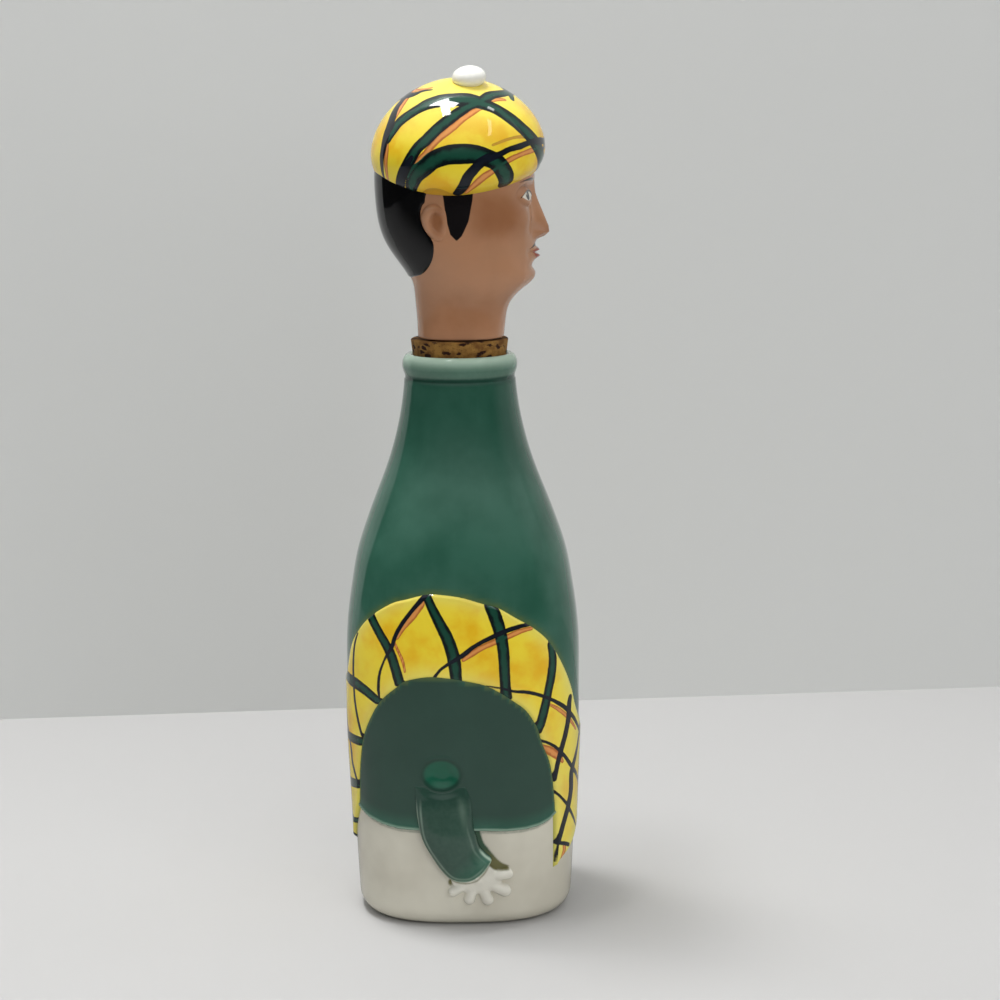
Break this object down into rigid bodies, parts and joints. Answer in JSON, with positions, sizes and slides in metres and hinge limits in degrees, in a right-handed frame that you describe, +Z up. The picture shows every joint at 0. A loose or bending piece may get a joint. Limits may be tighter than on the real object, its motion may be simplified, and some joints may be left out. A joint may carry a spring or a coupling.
{
  "type": "figural liquor decanter",
  "caption": "Glazed ceramic liquor bottle in the form of a standing man in a coat and tartan shawl, whose head with a cap and pompon lifts off on a cork.",
  "frame": {"origin": "middle of the foot, in the plane the decanter stands on", "axes": "+Z up along the bottle's axis, +X the way the figure faces, +Y to the figure's left"},
  "size_m": [0.0762, 0.0742, 0.2703],
  "materials": {
    "white_glaze": "clear gloss glaze over white earthenware",
    "green_glaze": "glossy bottle-green glaze, paler on raised edges",
    "tartan_glaze": "glossy yellow glaze with hand-painted green and orange strokes",
    "skin_glaze": "glossy flesh-coloured glaze with a darker blush",
    "black_glaze": "glossy black glaze",
    "cork": "natural agglomerate-free cork, sanded",
    "cement": "hardened glue, slightly glossy"
  },
  "bodies": {
    "bottle": {"bottle_shell": "white_glaze", "coat": "green_glaze", "shawl": "tartan_glaze", "right_sleeve": "green_glaze", "left_sleeve": "green_glaze", "right_hand": "white_glaze", "left_hand": "white_glaze"},
    "stopper": {"cork": "cork", "cement": "cement", "head": "skin_glaze", "hair": "black_glaze", "right_ear": "skin_glaze", "left_ear": "skin_glaze", "cap": "tartan_glaze", "pompon": "white_glaze"}
  },
  "joints": [
    {"name": "stopper_lift", "type": "slide", "parent": "bottle", "child": "stopper", "axis": [0, 0, 1], "range_m": [0, 0.06]}
  ]
}
